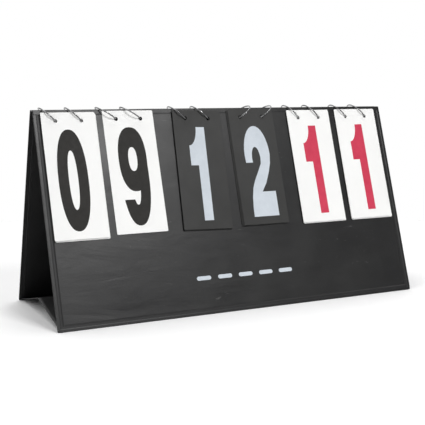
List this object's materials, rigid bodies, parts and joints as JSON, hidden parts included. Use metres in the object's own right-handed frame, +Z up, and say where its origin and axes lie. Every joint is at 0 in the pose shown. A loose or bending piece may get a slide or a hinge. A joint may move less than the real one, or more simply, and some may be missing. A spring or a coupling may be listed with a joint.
{
  "type": "flip scoreboard",
  "caption": "Folding tabletop tent scoreboard with sets of numeral cards on loose-leaf rings that flip over its top edge.",
  "frame": {"origin": "middle of the open board's footprint, on the floor", "axes": "+X along the board, to the right seen from the front; -Y is the front; +Z up"},
  "size_m": [0.6, 0.214, 0.3027],
  "materials": {
    "cover_vinyl": "satin grained PVC cover cloth",
    "lining_vinyl": "satin PVC lining",
    "greyboard": "matt greyboard",
    "white_card": "satin coated card",
    "dark_card": "satin coated card",
    "charcoal_ink": "printed ink",
    "pale_ink": "printed ink",
    "crimson_ink": "printed ink",
    "ring_wire": "bright nickel plate"
  },
  "bodies": {
    "front_panel": {"front_outer_cover": "cover_vinyl", "front_board": "greyboard", "front_inner_cover": "lining_vinyl", "front_gusset_hem": "lining_vinyl", "printed_mark": "pale_ink", "home_tens_rings": "ring_wire", "home_units_rings": "ring_wire", "sets_home_rings": "ring_wire", "sets_guest_rings": "ring_wire", "guest_tens_rings": "ring_wire", "guest_units_rings": "ring_wire", "ring_pins": "ring_wire"},
    "spine": {"spine_cover": "cover_vinyl", "spine_board": "greyboard", "spine_lining": "lining_vinyl"},
    "back_panel": {"back_outer_cover": "cover_vinyl", "back_board": "greyboard", "back_inner_cover": "lining_vinyl", "back_gusset_hem": "lining_vinyl"},
    "gusset_front": {"gusset_front_half": "lining_vinyl"},
    "gusset_back": {"gusset_back_half": "lining_vinyl"},
    "home_tens_gate_left": {"home_tens_gate_left": "ring_wire"},
    "home_tens_gate_right": {"home_tens_gate_right": "ring_wire"},
    "home_units_gate_left": {"home_units_gate_left": "ring_wire"},
    "home_units_gate_right": {"home_units_gate_right": "ring_wire"},
    "sets_home_gate_left": {"sets_home_gate_left": "ring_wire"},
    "sets_home_gate_right": {"sets_home_gate_right": "ring_wire"},
    "sets_guest_gate_left": {"sets_guest_gate_left": "ring_wire"},
    "sets_guest_gate_right": {"sets_guest_gate_right": "ring_wire"},
    "guest_tens_gate_left": {"guest_tens_gate_left": "ring_wire"},
    "guest_tens_gate_right": {"guest_tens_gate_right": "ring_wire"},
    "guest_units_gate_left": {"guest_units_gate_left": "ring_wire"},
    "guest_units_gate_right": {"guest_units_gate_right": "ring_wire"},
    "home_tens_card": {"home_tens_card": "white_card", "home_tens_numeral": "charcoal_ink"},
    "home_tens_front_cards": {"home_tens_front_cards": "white_card"},
    "home_units_card": {"home_units_card": "white_card", "home_units_numeral": "charcoal_ink"},
    "home_units_back_cards": {"home_units_back_cards": "white_card"},
    "sets_home_card": {"sets_home_card": "dark_card", "sets_home_numeral": "pale_ink"},
    "sets_home_front_cards": {"sets_home_front_cards": "dark_card"},
    "sets_home_back_cards": {"sets_home_back_cards": "dark_card"},
    "sets_guest_card": {"sets_guest_card": "dark_card", "sets_guest_numeral": "pale_ink"},
    "sets_guest_front_cards": {"sets_guest_front_cards": "dark_card"},
    "sets_guest_back_cards": {"sets_guest_back_cards": "dark_card"},
    "guest_tens_card": {"guest_tens_card": "white_card", "guest_tens_numeral": "crimson_ink"},
    "guest_tens_front_cards": {"guest_tens_front_cards": "white_card"},
    "guest_tens_back_cards": {"guest_tens_back_cards": "white_card"},
    "guest_units_card": {"guest_units_card": "white_card", "guest_units_numeral": "crimson_ink"},
    "guest_units_front_cards": {"guest_units_front_cards": "white_card"},
    "guest_units_back_cards": {"guest_units_back_cards": "white_card"}
  },
  "joints": [
    {"name": "spine_fold", "type": "hinge", "parent": "front_panel", "child": "spine", "pos_m": [0, -0.007, 0.29872], "axis": [-1, 0, 0], "range_deg": [0, 18.5], "deforming": ["gusset_front_half", "gusset_back_half"]},
    {"name": "back_panel_fold", "type": "hinge", "parent": "spine", "child": "back_panel", "pos_m": [0, 0.007, 0.29872], "axis": [-1, 0, 0], "range_deg": [0, 18.5]},
    {"name": "gusset_front_fold", "type": "hinge", "parent": "front_panel", "child": "gusset_front", "pos_m": [0, -0.10113, 0.00227], "axis": [1, 0, 0], "range_deg": [0, 58.2]},
    {"name": "gusset_back_fold", "type": "hinge", "parent": "back_panel", "child": "gusset_back", "pos_m": [0, 0.10113, 0.00227], "axis": [-1, 0, 0], "range_deg": [0, 58.2]},
    {"name": "home_tens_gate_left_hinge", "type": "hinge", "parent": "front_panel", "child": "home_tens_gate_left", "pos_m": [-0.27586, 0.018, 0.28927], "axis": [-0.692, 0, -0.7219], "range_deg": [0, 60]},
    {"name": "home_tens_gate_right_hinge", "type": "hinge", "parent": "front_panel", "child": "home_tens_gate_right", "pos_m": [-0.23736, 0.018, 0.28927], "axis": [-0.692, 0, -0.7219], "range_deg": [0, 60]},
    {"name": "home_units_gate_left_hinge", "type": "hinge", "parent": "front_panel", "child": "home_units_gate_left", "pos_m": [-0.18861, 0.018, 0.2922], "axis": [-0.5291, 0, -0.8486], "range_deg": [0, 60]},
    {"name": "home_units_gate_right_hinge", "type": "hinge", "parent": "front_panel", "child": "home_units_gate_right", "pos_m": [-0.15011, 0.018, 0.2922], "axis": [-0.5291, 0, -0.8486], "range_deg": [0, 60]},
    {"name": "sets_home_gate_left_hinge", "type": "hinge", "parent": "front_panel", "child": "sets_home_gate_left", "pos_m": [-0.07393, 0.018, 0.28998], "axis": [-0.6524, 0, -0.7579], "range_deg": [0, 60]},
    {"name": "sets_home_gate_right_hinge", "type": "hinge", "parent": "front_panel", "child": "sets_home_gate_right", "pos_m": [-0.03543, 0.018, 0.28998], "axis": [-0.6524, 0, -0.7579], "range_deg": [0, 60]},
    {"name": "sets_guest_gate_left_hinge", "type": "hinge", "parent": "front_panel", "child": "sets_guest_gate_left", "pos_m": [0.03624, 0.018, 0.29099], "axis": [-0.5964, 0, 0.8027], "range_deg": [0, 60]},
    {"name": "sets_guest_gate_right_hinge", "type": "hinge", "parent": "front_panel", "child": "sets_guest_gate_right", "pos_m": [0.07474, 0.018, 0.29099], "axis": [-0.5964, 0, 0.8027], "range_deg": [0, 60]},
    {"name": "guest_tens_gate_left_hinge", "type": "hinge", "parent": "front_panel", "child": "guest_tens_gate_left", "pos_m": [0.12835, 0.018, 0.28858], "axis": [-0.7301, 0, -0.6833], "range_deg": [0, 60]},
    {"name": "guest_tens_gate_right_hinge", "type": "hinge", "parent": "front_panel", "child": "guest_tens_gate_right", "pos_m": [0.16685, 0.018, 0.28858], "axis": [-0.7301, 0, -0.6833], "range_deg": [0, 60]},
    {"name": "guest_units_gate_left_hinge", "type": "hinge", "parent": "front_panel", "child": "guest_units_gate_left", "pos_m": [0.21991, 0.018, 0.28906], "axis": [-0.7032, 0, -0.711], "range_deg": [0, 60]},
    {"name": "guest_units_gate_right_hinge", "type": "hinge", "parent": "front_panel", "child": "guest_units_gate_right", "pos_m": [0.25841, 0.018, 0.28906], "axis": [-0.7032, 0, -0.711], "range_deg": [0, 60]},
    {"name": "home_tens_flip", "type": "hinge", "parent": "front_panel", "child": "home_tens_card", "pos_m": [0, 0.0023, 0.32768], "axis": [-1, 0, 0], "range_deg": [0, 323], "deforming": ["home_tens_card", "home_tens_numeral"]},
    {"name": "home_tens_pack_flip", "type": "hinge", "parent": "front_panel", "child": "home_tens_front_cards", "pos_m": [0, -0.00303, 0.32784], "axis": [-1, 0, 0], "range_deg": [0, 323], "deforming": ["home_tens_front_cards"]},
    {"name": "home_units_flip", "type": "hinge", "parent": "front_panel", "child": "home_units_card", "pos_m": [0, -0.00191, 0.32768], "axis": [-1, 0, 0], "range_deg": [0, 323], "deforming": ["home_units_card", "home_units_numeral"]},
    {"name": "home_units_return_flip", "type": "hinge", "parent": "back_panel", "child": "home_units_back_cards", "pos_m": [0, 0.00244, 0.32815], "axis": [1, 0, 0], "range_deg": [0, 323], "deforming": ["home_units_back_cards"]},
    {"name": "sets_home_flip", "type": "hinge", "parent": "front_panel", "child": "sets_home_card", "pos_m": [0, 0.00137, 0.32768], "axis": [-1, 0, 0], "range_deg": [0, 323], "deforming": ["sets_home_card", "sets_home_numeral"]},
    {"name": "sets_home_pack_flip", "type": "hinge", "parent": "front_panel", "child": "sets_home_front_cards", "pos_m": [0, -0.00294, 0.32784], "axis": [-1, 0, 0], "range_deg": [0, 323], "deforming": ["sets_home_front_cards"]},
    {"name": "sets_home_return_flip", "type": "hinge", "parent": "back_panel", "child": "sets_home_back_cards", "pos_m": [0, 0.00389, 0.32815], "axis": [1, 0, 0], "range_deg": [0, 323], "deforming": ["sets_home_back_cards"]},
    {"name": "sets_guest_flip", "type": "hinge", "parent": "front_panel", "child": "sets_guest_card", "pos_m": [0, 0.00061, 0.32768], "axis": [-1, 0, 0], "range_deg": [0, 323], "deforming": ["sets_guest_card", "sets_guest_numeral"]},
    {"name": "sets_guest_pack_flip", "type": "hinge", "parent": "front_panel", "child": "sets_guest_front_cards", "pos_m": [0, -0.00265, 0.32784], "axis": [-1, 0, 0], "range_deg": [0, 323], "deforming": ["sets_guest_front_cards"]},
    {"name": "sets_guest_return_flip", "type": "hinge", "parent": "back_panel", "child": "sets_guest_back_cards", "pos_m": [0, 0.003, 0.32815], "axis": [1, 0, 0], "range_deg": [0, 323], "deforming": ["sets_guest_back_cards"]},
    {"name": "guest_tens_flip", "type": "hinge", "parent": "front_panel", "child": "guest_tens_card", "pos_m": [0, 0.00181, 0.32768], "axis": [-1, 0, 0], "range_deg": [0, 323], "deforming": ["guest_tens_card", "guest_tens_numeral"]},
    {"name": "guest_tens_pack_flip", "type": "hinge", "parent": "front_panel", "child": "guest_tens_front_cards", "pos_m": [0, -0.0034, 0.32784], "axis": [-1, 0, 0], "range_deg": [0, 323], "deforming": ["guest_tens_front_cards"]},
    {"name": "guest_tens_return_flip", "type": "hinge", "parent": "back_panel", "child": "guest_tens_back_cards", "pos_m": [0, 0.00512, 0.32815], "axis": [1, 0, 0], "range_deg": [0, 323], "deforming": ["guest_tens_back_cards"]},
    {"name": "guest_units_flip", "type": "hinge", "parent": "front_panel", "child": "guest_units_card", "pos_m": [0, 0.00165, 0.32768], "axis": [-1, 0, 0], "range_deg": [0, 323], "deforming": ["guest_units_card", "guest_units_numeral"]},
    {"name": "guest_units_pack_flip", "type": "hinge", "parent": "front_panel", "child": "guest_units_front_cards", "pos_m": [0, -0.00323, 0.32784], "axis": [-1, 0, 0], "range_deg": [0, 323], "deforming": ["guest_units_front_cards"]},
    {"name": "guest_units_return_flip", "type": "hinge", "parent": "back_panel", "child": "guest_units_back_cards", "pos_m": [0, 0.00468, 0.32815], "axis": [1, 0, 0], "range_deg": [0, 323], "deforming": ["guest_units_back_cards"]}
  ],
  "couplings": [
    {"joint": "back_panel_fold", "follows": "spine_fold", "ratio": 1},
    {"joint": "gusset_front_fold", "follows": "spine_fold", "ratio": 3.1459},
    {"joint": "gusset_back_fold", "follows": "spine_fold", "ratio": 3.1459}
  ]
}
